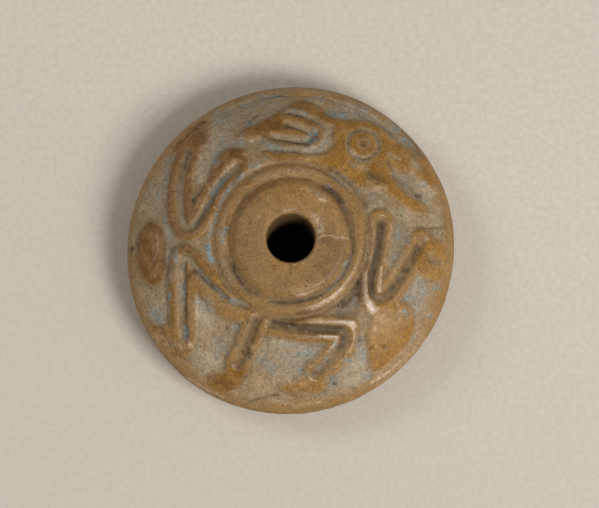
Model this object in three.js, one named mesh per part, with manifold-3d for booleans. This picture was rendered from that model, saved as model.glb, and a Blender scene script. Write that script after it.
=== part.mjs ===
// Clay spindle whorl with a carved animal running round its upper face.
// Millimetres, +Z up along the spindle hole. The origin is at the middle of the flat underside,
// on the surface the whorl lies on. +Y is the far side when the animal's head is at the upper right.

import * as THREE from "three";
import { mergeVertices } from "three/addons/utils/BufferGeometryUtils.js";
import Module from "manifold-3d";

const wasm = await Module();
wasm.setup();

// Overall body. The dome rises from the widest plane to the boss, and the outline swings in and out
// of round by a hair, longest along the out-of-round turn.
const WHORL_RADIUS = 21;
const OUT_OF_ROUND = 0.2;
const OUT_OF_ROUND_TURN = THREE.MathUtils.degToRad(38);
const BASE_RADIUS = 15;
const RIM_HEIGHT = 4.3;
const UNDERSIDE_BULGE = 0.9;
const DOME_RISE = 9.4;
const DOME_POWER = 2.45;

// Plain rounded rim outside the carved field, and the thin line that marks it off
const RIM_BAND = 0.95;
const RIM_RISE = 1.8;
const RIM_LINE_WIDTH = 0.3;
const RIM_LINE_DEPTH = 0.12;

// Spindle hole with its worn edges
const BORE_RADIUS = 3.1;
const MOUTH_WEAR = 0.3;
const UNDERSIDE_WEAR = 0.2;

// Boss round the hole, and the raised ring between two grooves
const BOSS_WALL = 2.8;
const BOSS_SHOULDER = 1.5;
const BOSS_SHOULDER_DROP = 0.4;
const RING_RADIUS = 9.2;
const RING_WIDTH = 0.9;
const RING_EDGE_DROP = 0.15;
const INNER_GROOVE_WIDTH = 1.25;
const INNER_GROOVE_DEPTH = 0.6;
const OUTER_GROOVE_WIDTH = 1.05;
const OUTER_GROOVE_DEPTH = 0.45;

// Carving: heights over the lowered ground, and widths of its strokes
const RELIEF_RISE = 0.42;
const LIMB_HALF_WIDTH = 1.75;
const CHANNEL_HALF_WIDTH = 0.55;
const CHANNEL_DEPTH = 0.12;
const CHANNEL_OVERRUN = 0.35;
const INCISION_HALF_WIDTH = 0.32;
const INCISION_DEPTH = 0.2;

// A lens is as wide as a stroke where it leaves the dome if its widest part is this much wider
const LENS_SPREAD = 1.15;

// Fineness of the facets
const TURN_STEPS = 60;
const DOME_STEPS = 6;
const CURVE_STEPS = 5;
const LENS_STEPS = 5;
const OVAL_STEPS = 7;
const STROKE_STEP = 2.4;

const CLAY = new THREE.MeshStandardMaterial({ color: 0xa87c4c, roughness: 0.5, metalness: 0 });

const RIM_LINE_RADIUS = WHORL_RADIUS - RIM_BAND;
const BOSS_RADIUS = BORE_RADIUS + MOUTH_WEAR + BOSS_WALL + BOSS_SHOULDER;
const RING_INNER = RING_RADIUS - RING_WIDTH / 2;
const RING_OUTER = RING_RADIUS + RING_WIDTH / 2;
const FIELD_RADIUS = RING_OUTER + OUTER_GROOVE_WIDTH;

// Limbs of the animal. Places are shares of the whorl's radius, seen from above, and a bow is how
// far the middle of a limb's bone swings to its left, going from the hip outwards.
const LIMBS = {
  leftArm: { hip: [-0.33, 0.47], knee: [-0.63, 0.075], foot: [-0.615, 0.6], bows: [-0.015, 0.068] },
  leftLeg: { hip: [-0.29, -0.415], knee: [-0.655, -0.08], foot: [-0.625, -0.59], bows: [0.042, -0.01] },
  rightLeg: { hip: [-0.16, -0.5], knee: [0.35, -0.55], foot: [0.13, -0.85], bows: [-0.038, 0.02] },
  rightArm: { hip: [0.545, 0.13], knee: [0.53, -0.37], foot: [0.84, 0.02], bows: [0, -0.03] },
  topArm: { hip: [-0.11, 0.645], knee: [0.14, 0.635], foot: [-0.03, 0.76], bows: [-0.028, -0.028] },
};
const SHORT_LIMB = { from: [-0.195, -0.465], to: [-0.355, -0.8], bow: 0 };

// Flat raised masses: middle, half size outwards and half size round the whorl, as shares of the radius
const MASSES = {
  head: { at: [0.44, 0.63], out: 0.19, round: 0.16 },
  snout: { at: [0.78, 0.5], out: 0.1, round: 0.12 },
  jaw: { at: [0.7, 0.31], out: 0.08, round: 0.16 },
  neck: { at: [0.27, 0.53], out: 0.08, round: 0.14 },
  crest: { at: [0.12, 0.82], out: 0.06, round: 0.15 },
  topHand: { at: [-0.2, 0.69], out: 0.08, round: 0.13 },
  leftHand: { at: [-0.6, 0.72], out: 0.09, round: 0.11 },
  curledTail: { at: [-0.865, -0.03], out: 0.09, round: 0.17 },
  leftFoot: { at: [-0.74, -0.59], out: 0.07, round: 0.14 },
  shortFoot: { at: [-0.44, -0.8], out: 0.06, round: 0.09 },
  rightFoot: { at: [0.08, -0.875], out: 0.05, round: 0.14 },
  rightHand: { at: [0.895, -0.06], out: 0.06, round: 0.12 },
  haunch: { at: [0.66, -0.6], out: 0.14, round: 0.19 },
};

// Fine cut lines on the masses, each a bowed line between two places
const INCISIONS = {
  mouth: { from: [0.61, 0.47], to: [0.78, 0.32], bow: -0.02 },
  nostril: { from: [0.59, 0.57], to: [0.72, 0.46], bow: -0.035 },
  tailCurl: { from: [-0.83, 0.06], to: [-0.86, -0.15], bow: 0.035 },
  brow: { from: [0.3, 0.79], to: [0.6, 0.68], bow: 0.03 },
};
const EYE = { at: [0.44, 0.61], radius: 0.1, pupil: 0.025 };

// Height of the carved field's lowered ground, and of the ring, at a distance from the axis
function domeHeight(radius) {
  const fall = (radius / RIM_LINE_RADIUS) ** DOME_POWER;
  return RIM_HEIGHT + DOME_RISE - (DOME_RISE - RIM_RISE) * fall;
}

// Direction that points straight out of the dome above a place in plan
function domeNormal(x, y) {
  const radius = Math.hypot(x, y);
  const step = WHORL_RADIUS / 1000;
  const slope = (domeHeight(radius + step) - domeHeight(radius - step)) / (2 * step);
  return new THREE.Vector3((-slope * x) / radius, (-slope * y) / radius, 1).normalize();
}

function onDome(x, y) {
  return new THREE.Vector3(x, y, domeHeight(Math.hypot(x, y)));
}

function fromShares([x, y]) {
  return new THREE.Vector2(x * WHORL_RADIUS, y * WHORL_RADIUS);
}

function toSolid(geometry) {
  geometry.deleteAttribute("normal");
  geometry.deleteAttribute("uv");
  const closed = mergeVertices(geometry, WHORL_RADIUS * 1e-5);
  const mesh = new wasm.Mesh({
    numProp: 3,
    vertProperties: new Float32Array(closed.attributes.position.array),
    triVerts: new Uint32Array(closed.index.array),
  });
  return new wasm.Manifold(mesh);
}

function toGeometry(solid) {
  const mesh = solid.getMesh();
  const geometry = new THREE.BufferGeometry();
  geometry.setAttribute("position", new THREE.BufferAttribute(new Float32Array(mesh.vertProperties), 3));
  geometry.setIndex(new THREE.BufferAttribute(new Uint32Array(mesh.triVerts), 1));
  geometry.computeVertexNormals();
  return geometry;
}

// Closed outline, in radius and height, turned round the spindle hole
function turned(outline) {
  const points = outline.map(([radius, height]) => new THREE.Vector2(radius, height));
  points.push(points[0].clone());
  const geometry = new THREE.LatheGeometry(points, TURN_STEPS);
  geometry.rotateX(Math.PI / 2);
  return toSolid(geometry);
}

function bentBetween(start, corner, end) {
  const curve = new THREE.QuadraticBezierCurve(
    new THREE.Vector2(...start),
    new THREE.Vector2(...corner),
    new THREE.Vector2(...end),
  );
  return curve.getPoints(CURVE_STEPS).map((point) => [point.x, point.y]);
}

function domeOutline(fromRadius, toRadius, lift) {
  const places = Array.from({ length: DOME_STEPS + 1 }, (_, i) => i / DOME_STEPS);
  return places.map((share) => {
    const radius = THREE.MathUtils.lerp(fromRadius, toRadius, share);
    return [radius, domeHeight(radius) + lift];
  });
}

// Body outline: underside, side, rim, carved field's ground, ring between its grooves, boss and hole
function bodyOutline() {
  const top = RIM_HEIGHT + DOME_RISE;
  const lineInner = RIM_LINE_RADIUS - RIM_LINE_WIDTH;
  const lineMiddle = RIM_LINE_RADIUS - RIM_LINE_WIDTH / 2;
  const innerGroove = RING_INNER - INNER_GROOVE_WIDTH / 2;
  const outerGroove = RING_OUTER + OUTER_GROOVE_WIDTH / 2;
  const underside = bentBetween(
    [BASE_RADIUS, 0],
    [WHORL_RADIUS, UNDERSIDE_BULGE],
    [WHORL_RADIUS, RIM_HEIGHT],
  );
  const rim = bentBetween(
    [WHORL_RADIUS, RIM_HEIGHT],
    [WHORL_RADIUS, RIM_HEIGHT + RIM_RISE / 2],
    [RIM_LINE_RADIUS, domeHeight(RIM_LINE_RADIUS)],
  );
  return [
    [BORE_RADIUS, UNDERSIDE_WEAR],
    [BORE_RADIUS + UNDERSIDE_WEAR, 0],
    ...underside,
    ...rim.slice(1),
    [lineMiddle, domeHeight(lineMiddle) - RIM_LINE_DEPTH],
    ...domeOutline(lineInner, FIELD_RADIUS, 0),
    [outerGroove, domeHeight(outerGroove) - OUTER_GROOVE_DEPTH],
    [RING_OUTER, domeHeight(RING_OUTER) - RING_EDGE_DROP],
    [RING_RADIUS + RING_WIDTH / 6, domeHeight(RING_RADIUS)],
    [RING_RADIUS - RING_WIDTH / 6, domeHeight(RING_RADIUS)],
    [RING_INNER, domeHeight(RING_INNER) - RING_EDGE_DROP],
    [innerGroove, domeHeight(innerGroove) - INNER_GROOVE_DEPTH],
    [BOSS_RADIUS - BOSS_SHOULDER / 4, top - BOSS_SHOULDER_DROP],
    [BOSS_RADIUS - BOSS_SHOULDER * 0.55, top - BOSS_SHOULDER_DROP * 0.4],
    [BOSS_RADIUS - BOSS_SHOULDER, top],
    [BORE_RADIUS + MOUTH_WEAR, top],
    [BORE_RADIUS + MOUTH_WEAR * 0.3, top - MOUTH_WEAR * 0.3],
    [BORE_RADIUS, top - MOUTH_WEAR],
  ];
}

// Tall ring over the carved field, which trims the relief to it. A lift makes it end above the ground.
function fieldRing(lift) {
  const outer = RIM_LINE_RADIUS - RIM_LINE_WIDTH;
  return turned([
    [FIELD_RADIUS, RIM_HEIGHT],
    [outer, RIM_HEIGHT],
    ...domeOutline(outer, FIELD_RADIUS, lift),
  ]);
}

// Line that lies on the dome over a curve in plan, with its frames square to the dome
class DomePath extends THREE.Curve {
  constructor(plan) {
    super();
    this.plan = plan;
  }

  getPoint(t, target = new THREE.Vector3()) {
    const point = this.plan.getPoint(t);
    return target.copy(onDome(point.x, point.y));
  }

  computeFrenetFrames(steps) {
    const tangents = [];
    const normals = [];
    const binormals = [];
    for (let i = 0; i <= steps; i += 1) {
      const place = this.getPointAt(i / steps);
      const tangent = this.getTangentAt(i / steps);
      const across = domeNormal(place.x, place.y).cross(tangent).normalize();
      tangents.push(tangent);
      normals.push(across);
      binormals.push(tangent.clone().cross(across).normalize());
    }
    return { tangents, normals, binormals };
  }
}

function bowedCurve({ from, to, bow }, overrun) {
  const start = fromShares(from);
  const end = fromShares(to);
  const along = end.clone().sub(start).normalize();
  const left = new THREE.Vector2(-along.y, along.x);
  const corner = start.clone().lerp(end, 0.5).addScaledVector(left, 2 * bow * WHORL_RADIUS);
  start.addScaledVector(along, -overrun);
  end.addScaledVector(along, overrun);
  return new THREE.QuadraticBezierCurve(start, corner, end);
}

// Section of a stroke: half of its outline, from the side to the middle, mirrored to the other side.
// Each place is a share of the half width and a height over the dome.
function section(halfWidth, halfOutline) {
  const right = halfOutline.map(([share, height]) => new THREE.Vector2(share * halfWidth, height));
  const left = halfOutline.map(([share, height]) => new THREE.Vector2(-share * halfWidth, height));
  return new THREE.Shape([...right, ...left.reverse()]);
}

function limbSection() {
  return section(LIMB_HALF_WIDTH, [[1, -RELIEF_RISE], [0.8, 0.6 * RELIEF_RISE], [0.4, RELIEF_RISE]]);
}

function channelSection() {
  return section(CHANNEL_HALF_WIDTH, [[0.5, -CHANNEL_DEPTH], [1.2, 1.5 * RELIEF_RISE]]);
}

function incisionSection() {
  const bottom = RELIEF_RISE - INCISION_DEPTH;
  return section(INCISION_HALF_WIDTH, [[0.3, bottom], [1.5, RELIEF_RISE + INCISION_DEPTH]]);
}

// Stroke of one section along a bowed line on the dome, run on a little past the line's ends
function stroke(line, outline, overrun) {
  const plan = bowedCurve(line, overrun);
  const steps = Math.max(2, Math.round(plan.getLength() / STROKE_STEP));
  return toSolid(new THREE.ExtrudeGeometry(outline, { steps, extrudePath: new DomePath(plan) }));
}

// Moves a geometry made round the origin onto the dome at a place, with its +Z straight out of the dome
function seatOnDome(geometry, at) {
  const plan = fromShares(at);
  const up = new THREE.Vector3(0, 0, 1);
  const place = onDome(plan.x, plan.y);
  geometry.applyQuaternion(new THREE.Quaternion().setFromUnitVectors(up, domeNormal(plan.x, plan.y)));
  geometry.translate(place.x, place.y, place.z);
  return toSolid(geometry);
}

// Round lens from one height over the dome to another
function lens(at, halfWidth, bottom, top) {
  const geometry = new THREE.SphereGeometry(1, 2 * LENS_STEPS, LENS_STEPS);
  geometry.rotateX(Math.PI / 2);
  geometry.scale(halfWidth, halfWidth, (top - bottom) / 2);
  geometry.translate(0, 0, (top + bottom) / 2);
  return seatOnDome(geometry, at);
}

function bones() {
  return Object.values(LIMBS).flatMap(({ hip, knee, foot, bows }) => [
    { from: hip, to: knee, bow: bows[0] },
    { from: knee, to: foot, bow: bows[1] },
  ]).concat(SHORT_LIMB);
}

function limbSolids() {
  const knees = Object.values(LIMBS).map(({ knee }) => {
    return lens(knee, LENS_SPREAD * LIMB_HALF_WIDTH, -3 * RELIEF_RISE, RELIEF_RISE);
  });
  return bones().map((bone) => stroke(bone, limbSection(), 0)).concat(knees);
}

function channelSolids() {
  const knees = Object.values(LIMBS).map(({ knee }) => {
    return lens(knee, LENS_SPREAD * CHANNEL_HALF_WIDTH, -CHANNEL_DEPTH, 3 * RELIEF_RISE);
  });
  return bones().map((bone) => stroke(bone, channelSection(), CHANNEL_OVERRUN)).concat(knees);
}

function massPrism({ at, out, round }) {
  const middle = fromShares(at);
  const oval = new THREE.Shape();
  const outwards = out * WHORL_RADIUS;
  const roundwards = round * WHORL_RADIUS;
  oval.absellipse(middle.x, middle.y, outwards, roundwards, 0, 2 * Math.PI, false, middle.angle());
  const geometry = new THREE.ExtrudeGeometry(oval, {
    depth: DOME_RISE,
    bevelEnabled: false,
    curveSegments: OVAL_STEPS,
  });
  geometry.translate(0, 0, RIM_HEIGHT);
  return toSolid(geometry);
}

function eyeCuts() {
  const ring = new THREE.TorusGeometry(EYE.radius * WHORL_RADIUS, INCISION_HALF_WIDTH, 4, 16);
  ring.translate(0, 0, RELIEF_RISE);
  const pupil = lens(EYE.at, EYE.pupil * WHORL_RADIUS, 0, 2 * RELIEF_RISE);
  return [seatOnDome(ring, EYE.at), pupil];
}

function joined(solids) {
  return solids.reduce((whole, solid) => whole.add(solid));
}

// The hand-shaped outline is a little longer one way than the other, and the spindle hole stays round
function drawOutOfRound(geometry) {
  const longWay = new THREE.Vector2(Math.cos(OUT_OF_ROUND_TURN), Math.sin(OUT_OF_ROUND_TURN));
  const position = geometry.attributes.position;
  for (let i = 0; i < position.count; i += 1) {
    const point = new THREE.Vector2(position.getX(i), position.getY(i));
    const radius = point.length();
    const share = (radius - BORE_RADIUS) / (WHORL_RADIUS - BORE_RADIUS);
    const swing = 2 * (point.dot(longWay) / radius) ** 2 - 1;
    point.multiplyScalar(1 + (OUT_OF_ROUND * Math.max(0, share) * swing) / radius);
    position.setXY(i, point.x, point.y);
  }
  return geometry;
}

function whorlGeometry() {
  const limbs = joined(limbSolids()).intersect(fieldRing(DOME_RISE));
  const masses = joined(Object.values(MASSES).map(massPrism)).intersect(fieldRing(RELIEF_RISE));
  const channels = joined(channelSolids());
  const lines = Object.values(INCISIONS).map((line) => stroke(line, incisionSection(), 0));
  const incisions = joined(lines.concat(eyeCuts()));
  const whole = turned(bodyOutline()).add(limbs).add(masses).subtract(channels).subtract(incisions);
  return drawOutOfRound(toGeometry(whole));
}

const whorl = new THREE.Mesh(whorlGeometry(), CLAY);
whorl.name = "whorl";

const part = new THREE.Group();
part.add(whorl);

export default part;
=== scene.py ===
# %% [markdown]
# A clay spindle whorl is a small weight that keeps a hand spindle turning. This one is a domed disc of
# burnished clay with a hole for the spindle, a plain boss round the hole, a raised ring between two
# grooves, and an animal carved in low relief round its upper face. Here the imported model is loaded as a
# fixed frame, and everything after it is worked out in the same metres.

# %% Load the frame
import math

import bmesh
import bpy
import numpy as np
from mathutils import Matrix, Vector


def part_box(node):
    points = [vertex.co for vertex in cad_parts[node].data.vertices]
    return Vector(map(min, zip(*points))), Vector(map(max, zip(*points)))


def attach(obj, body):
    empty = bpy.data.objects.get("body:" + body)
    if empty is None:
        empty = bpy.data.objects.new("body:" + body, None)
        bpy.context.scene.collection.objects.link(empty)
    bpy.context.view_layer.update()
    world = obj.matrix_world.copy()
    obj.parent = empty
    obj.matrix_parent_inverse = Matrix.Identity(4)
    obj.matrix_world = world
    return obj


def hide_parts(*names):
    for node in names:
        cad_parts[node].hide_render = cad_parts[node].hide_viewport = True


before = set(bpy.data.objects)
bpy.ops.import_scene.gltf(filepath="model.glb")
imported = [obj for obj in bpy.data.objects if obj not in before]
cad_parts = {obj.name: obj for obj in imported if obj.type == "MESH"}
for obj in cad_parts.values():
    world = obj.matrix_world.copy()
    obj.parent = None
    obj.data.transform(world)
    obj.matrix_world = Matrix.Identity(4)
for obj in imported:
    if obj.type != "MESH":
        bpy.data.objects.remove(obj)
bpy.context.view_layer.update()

MM = 0.001
low, high = (Vector(corner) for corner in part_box("whorl"))
size = high - low
WHORL_RADIUS = (size.x + size.y) / 4
WHORL_HEIGHT = size.z
print("whorl", round(WHORL_RADIUS / MM, 2), "mm in radius and", round(WHORL_HEIGHT / MM, 2), "mm high")

# %% [markdown]
# The body is a turned form, so one outline describes it. It goes over the boss and its shoulder, dips
# into the two grooves beside the ring, falls away in a dome to a thin line and the plain rim, and comes
# back under to a flat base. A potter's thumb leaves no sharp corners, so the outline is drawn with a few
# straight runs, and then softened.

# %% The dome
RIM_HEIGHT = 4.3 * MM
RIM_BAND = 0.95 * MM
RIM_RISE = 1.8 * MM
DOME_POWER = 2.45

RIM_LINE_RADIUS = WHORL_RADIUS - RIM_BAND
DOME_FALL = WHORL_HEIGHT - RIM_HEIGHT - RIM_RISE


def dome_height(radius):
    return WHORL_HEIGHT - DOME_FALL * (radius / RIM_LINE_RADIUS) ** DOME_POWER


def dome_slope(radius):
    return -DOME_FALL * DOME_POWER / RIM_LINE_RADIUS * (radius / RIM_LINE_RADIUS) ** (DOME_POWER - 1)


print("dome falls", round(math.degrees(math.atan(-dome_slope(0.75 * WHORL_RADIUS)))), "degrees in the field")

# %% Boss, ring and grooves
BOSS_EDGE = 6.45 * MM
BOSS_BEND = 7.0 * MM
BOSS_FOOT = 7.3 * MM
BOSS_RADIUS = 7.6 * MM
BOSS_BEND_DROP = 0.12 * MM
BOSS_DROP = 0.4 * MM
RING_RADIUS = 8.96 * MM
RING_WIDTH = 1.12 * MM
RING_CROWN = 0.085 * MM
RING_EDGE_DROP = 0.05 * MM
INNER_GROOVE_WIDTH = 0.75 * MM
INNER_GROOVE_DEPTH = 0.27 * MM
OUTER_GROOVE_WIDTH = 1.0 * MM
OUTER_GROOVE_DEPTH = 0.38 * MM

RING_INNER = RING_RADIUS - RING_WIDTH / 2
RING_OUTER = RING_RADIUS + RING_WIDTH / 2
OUTER_GROOVE = RING_OUTER + OUTER_GROOVE_WIDTH / 2
FIELD_RADIUS = RING_OUTER + OUTER_GROOVE_WIDTH


def groove(middle, width, depth):
    return [(middle + share * width / 2, dome_height(middle + share * width / 2) - cut * depth)
            for share, cut in ((-1, 0), (-0.5, 0.8), (0, 1), (0.5, 0.8), (1, 0))]


def rough_top():
    corners = [(0, WHORL_HEIGHT), (BOSS_EDGE, WHORL_HEIGHT), (BOSS_BEND, WHORL_HEIGHT - BOSS_BEND_DROP)]
    corners.append((BOSS_FOOT, WHORL_HEIGHT - BOSS_DROP))
    corners += groove(RING_INNER - INNER_GROOVE_WIDTH / 2, INNER_GROOVE_WIDTH, INNER_GROOVE_DEPTH)[1:4]
    corners.append((RING_INNER, dome_height(RING_INNER) - RING_EDGE_DROP))
    corners.append((RING_RADIUS, dome_height(RING_RADIUS) + RING_CROWN))
    corners.append((RING_OUTER, dome_height(RING_OUTER) - RING_EDGE_DROP))
    corners += groove(OUTER_GROOVE, OUTER_GROOVE_WIDTH, OUTER_GROOVE_DEPTH)[1:]
    field = np.linspace(FIELD_RADIUS, RIM_LINE_RADIUS, 30)[1:]
    corners += [(radius, dome_height(radius)) for radius in field]
    return np.array(corners)


rough = rough_top()
print("rough outline of the top:", len(rough), "corners")

# %% [markdown]
# Sharp corners are rounded as a sanded edge is: every height becomes a weighted mean of the heights beside
# it. A thin line runs just inside the rim, where the maker's tool marked the end of the carved face.

# %% Heights of the top, softened
TOP_STEP = 0.02 * MM
SOFTENING = 0.1 * MM
RIM_LINE_WIDTH = 0.42 * MM
RIM_LINE_DEPTH = 0.035 * MM

fine_radii = np.arange(0, RIM_LINE_RADIUS, TOP_STEP)
reach = int(3 * SOFTENING / TOP_STEP)
weights = np.exp(-0.5 * (np.arange(-reach, reach + 1) * TOP_STEP / SOFTENING) ** 2)
padded = np.pad(np.interp(fine_radii, *rough.T), reach, mode="reflect", reflect_type="odd")
fine_heights = np.convolve(padded, weights / weights.sum(), mode="valid")
line_dip = np.exp(-((fine_radii - RIM_LINE_RADIUS + RIM_LINE_WIDTH) / (0.35 * RIM_LINE_WIDTH)) ** 2)
fine_heights -= RIM_LINE_DEPTH * line_dip


def top_height(radius):
    return float(np.interp(radius, fine_radii, fine_heights))


ring_rise = top_height(RING_RADIUS) - top_height(OUTER_GROOVE)
print("ring stands", round(ring_rise / MM, 2), "mm over its groove")

# %% [markdown]
# In mesh code a turned form is a chain of vertices and one spin. The chain is closed on itself, because
# the whorl has a hole through it, and the spin merges its last step with its first. The steps are fine
# enough, about a quarter of a millimetre, for the carving to be real geometry and not a bump pattern, and
# the count of turns keeps the body under 200,000 triangles.

# %% The outline as one closed chain
BASE_RADIUS = 15 * MM
UNDERSIDE_BULGE = 0.9 * MM
BORE_RADIUS = 3.1 * MM
MOUTH_WEAR = 0.3 * MM
MOUTH_BEND = 0.15 * MM
UNDERSIDE_WEAR = 0.2 * MM
BOSS_STEP = 0.16 * MM
RING_STEP = 0.1 * MM
FIELD_STEP = 0.145 * MM
RIM_LINE_STEP = 0.085 * MM


def bent(start, corner, end, steps):
    shares = [step / steps for step in range(steps + 1)]
    return [tuple((1 - t) ** 2 * a + 2 * t * (1 - t) * b + t * t * c for a, b, c in zip(start, corner, end))
            for t in shares]


def top_run(start, end, step):
    count = max(1, round((end - start) / step))
    radii = [start + (end - start) * i / count for i in range(count)]
    return [(radius, top_height(radius)) for radius in radii]


def outline():
    mouth = BORE_RADIUS + MOUTH_WEAR + MOUTH_BEND
    wall_top = WHORL_HEIGHT - 2 * MOUTH_WEAR
    line_start = RIM_LINE_RADIUS - 2 * RIM_LINE_WIDTH
    rim_top = (RIM_LINE_RADIUS, top_height(RIM_LINE_RADIUS))
    widest = (WHORL_RADIUS, RIM_HEIGHT)
    foot = BORE_RADIUS + UNDERSIDE_WEAR
    chain = bent((BORE_RADIUS, wall_top), (BORE_RADIUS, WHORL_HEIGHT), (mouth, top_height(mouth)), 6)[:-1]
    chain += top_run(mouth, BOSS_EDGE, BOSS_STEP)
    chain += top_run(BOSS_EDGE, FIELD_RADIUS, RING_STEP)
    chain += top_run(FIELD_RADIUS, line_start, FIELD_STEP)
    chain += top_run(line_start, RIM_LINE_RADIUS, RIM_LINE_STEP)
    chain += bent(rim_top, (WHORL_RADIUS, RIM_HEIGHT + RIM_RISE / 2), widest, 12)[:-1]
    chain += bent(widest, (WHORL_RADIUS, UNDERSIDE_BULGE), (BASE_RADIUS, 0), 26)[:-1]
    chain += [(BASE_RADIUS + (foot - BASE_RADIUS) * i / 16, 0) for i in range(16)]
    chain += bent((foot, 0), (BORE_RADIUS, 0), (BORE_RADIUS, UNDERSIDE_WEAR), 3)
    chain += [(BORE_RADIUS, UNDERSIDE_WEAR + (wall_top - UNDERSIDE_WEAR) * i / 10) for i in range(1, 10)]
    return chain


chain = outline()
print("outline of", len(chain), "points")

# %% Spin the outline round the spindle hole
TURNS = 490

whorl_bm = bmesh.new()
ring = [whorl_bm.verts.new((radius, 0, height)) for radius, height in chain]
for first, second in zip(ring, ring[1:] + ring[:1]):
    whorl_bm.edges.new((first, second))
bmesh.ops.spin(
    whorl_bm, geom=whorl_bm.verts[:] + whorl_bm.edges[:], cent=(0, 0, 0), axis=(0, 0, 1),
    angle=math.tau, steps=TURNS, use_merge=True)
bmesh.ops.remove_doubles(whorl_bm, verts=whorl_bm.verts[:], dist=0.002 * MM)
bmesh.ops.recalc_face_normals(whorl_bm, faces=whorl_bm.faces[:])
whorl_mesh = bpy.data.meshes.new("whorl_body")
whorl_bm.to_mesh(whorl_mesh)
whorl_bm.free()
points = np.empty(len(whorl_mesh.vertices) * 3, dtype=np.float32)
whorl_mesh.vertices.foreach_get("co", points)
points = points.reshape(-1, 3).astype(float)
print("body of", len(whorl_mesh.polygons), "faces")

# %% [markdown]
# The carving is laid out in plan, with the spindle hole in the middle. An animal runs round the face. Its
# limbs are bent bands, each with a channel sunk down its middle, so a limb reads as two ridges side by
# side. A limb here is the line of its channel, from the hip over the rounded knee to the foot. Its places
# are written as pairs of whole numbers, in thousandths of the whorl's radius, and a smooth curve is drawn
# through them.

# %% Limbs
LIMBS = {
    "left arm": [-330, 465, -380, 425, -440, 360, -490, 280, -540, 185, -585, 105, -635, 85, -675, 150,
        -688, 250, -685, 360, -670, 470, -630, 575],
    "left leg": [-290, -405, -370, -370, -440, -325, -500, -265, -560, -195, -615, -125, -655, -100,
        -668, -170, -667, -280, -660, -400, -640, -550],
    "right leg": [-160, -495, -60, -520, 50, -540, 170, -550, 290, -550, 338, -570, 325, -630, 280, -690,
        220, -745, 150, -800],
    "right arm": [550, 120, 548, 40, 535, -60, 512, -170, 492, -270, 500, -335, 550, -362, 610, -320,
        665, -240, 715, -150, 760, -70, 810, 20],
    "top arm": [-110, 655, -40, 645, 40, 630, 110, 628, 140, 660, 100, 695, 40, 720, -20, 738],
    "short limb": [-200, -475, -235, -560, -275, -650, -315, -735],
}


def smooth_line(places, steps, closed=False):
    corners = list(np.reshape(places, (-1, 2)) / 1000)
    if closed:
        corners = [corners[-1]] + corners + corners[:2]
    else:
        corners = [2 * corners[0] - corners[1]] + corners + [2 * corners[-1] - corners[-2]]
    line = []
    for p0, p1, p2, p3 in zip(corners, corners[1:], corners[2:], corners[3:]):
        for t in np.arange(steps) / steps:
            line.append(0.5 * (2 * p1 + (p2 - p0) * t + (2 * p0 - 5 * p1 + 4 * p2 - p3) * t**2
                               + (3 * p1 - p0 - 3 * p2 + p3) * t**3))
    line.append(corners[-2])
    return np.array(line)


limb_lines = {name: smooth_line(places, steps=3) for name, places in LIMBS.items()}
print(len(limb_lines), "limbs")

# %% [markdown]
# Between the limbs stand broad, flat masses: the head with its snout, the jaw and neck, hands and feet,
# a curled tail and a haunch. Each is a closed outline of a few places, rounded into a smooth loop.

# %% Masses
MASSES = {
    "head": [260, 650, 270, 735, 370, 765, 480, 760, 570, 710, 660, 645, 760, 595, 860, 520, 900, 430,
        840, 390, 780, 420, 730, 460, 660, 440, 620, 460, 560, 490, 460, 490, 380, 500, 300, 550],
    "jaw": [-170, 550, -20, 545, 130, 525, 240, 540, 340, 520, 440, 470, 540, 460, 610, 400, 670, 330,
        740, 285, 820, 245, 830, 190, 780, 185, 700, 220, 610, 290, 520, 320, 450, 310, 380, 360,
        280, 425, 130, 470, -50, 485],
    "neck": [180, 470, 220, 545, 270, 600, 280, 700, 360, 620, 460, 530, 570, 520, 620, 440, 560, 360,
        460, 340, 360, 380, 270, 430],
    "knee disc": [530, -400, 560, -375, 610, -365, 645, -400, 640, -450, 590, -470, 540, -450],
    "crest": [-40, 810, 0, 870, 80, 900, 160, 860, 240, 790, 320, 755, 300, 710, 220, 735, 140, 785,
        60, 810, 20, 830],
    "top hand": [-320, 650, -290, 710, -200, 750, -120, 790, -60, 830, -40, 760, -80, 700, -140, 665,
        -220, 650],
    "left hand": [-730, 600, -700, 680, -610, 770, -530, 810, -490, 740, -510, 650, -560, 600, -640, 600],
    "shoulder": [-500, 420, -470, 500, -420, 565, -330, 580, -280, 550, -350, 520, -420, 470, -470, 400],
    "curled tail": [-880, 150, -940, 70, -950, -60, -920, -170, -850, -250, -780, -220, -750, -100,
        -760, 30, -810, 120],
    "left foot": [-870, -440, -820, -480, -720, -500, -670, -570, -600, -590, -590, -650, -650, -680,
        -730, -650, -800, -600, -850, -530],
    "short foot": [-510, -800, -460, -770, -400, -770, -340, -720, -280, -770, -300, -840, -380, -880,
        -470, -860],
    "right foot": [-70, -870, 10, -840, 120, -790, 220, -800, 230, -870, 140, -910, 20, -910],
    "right hand": [800, -20, 850, 30, 930, 30, 960, -60, 940, -170, 880, -210, 790, -190, 790, -100],
    "haunch": [500, -500, 520, -430, 600, -400, 700, -360, 760, -440, 750, -550, 670, -670, 560, -770,
        500, -760, 480, -660, 470, -570],
}

mass_loops = [smooth_line(places, steps=3, closed=True) for places in MASSES.values()]
print(len(mass_loops), "masses")

# %% [markdown]
# Last come the lines cut with a point: the ring round the eye, the mouth and nostril, the curl of the
# tail. A row is the half width in thousandths, the strength in hundredths, and then the places. The paint
# further down uses such rows too.

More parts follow.
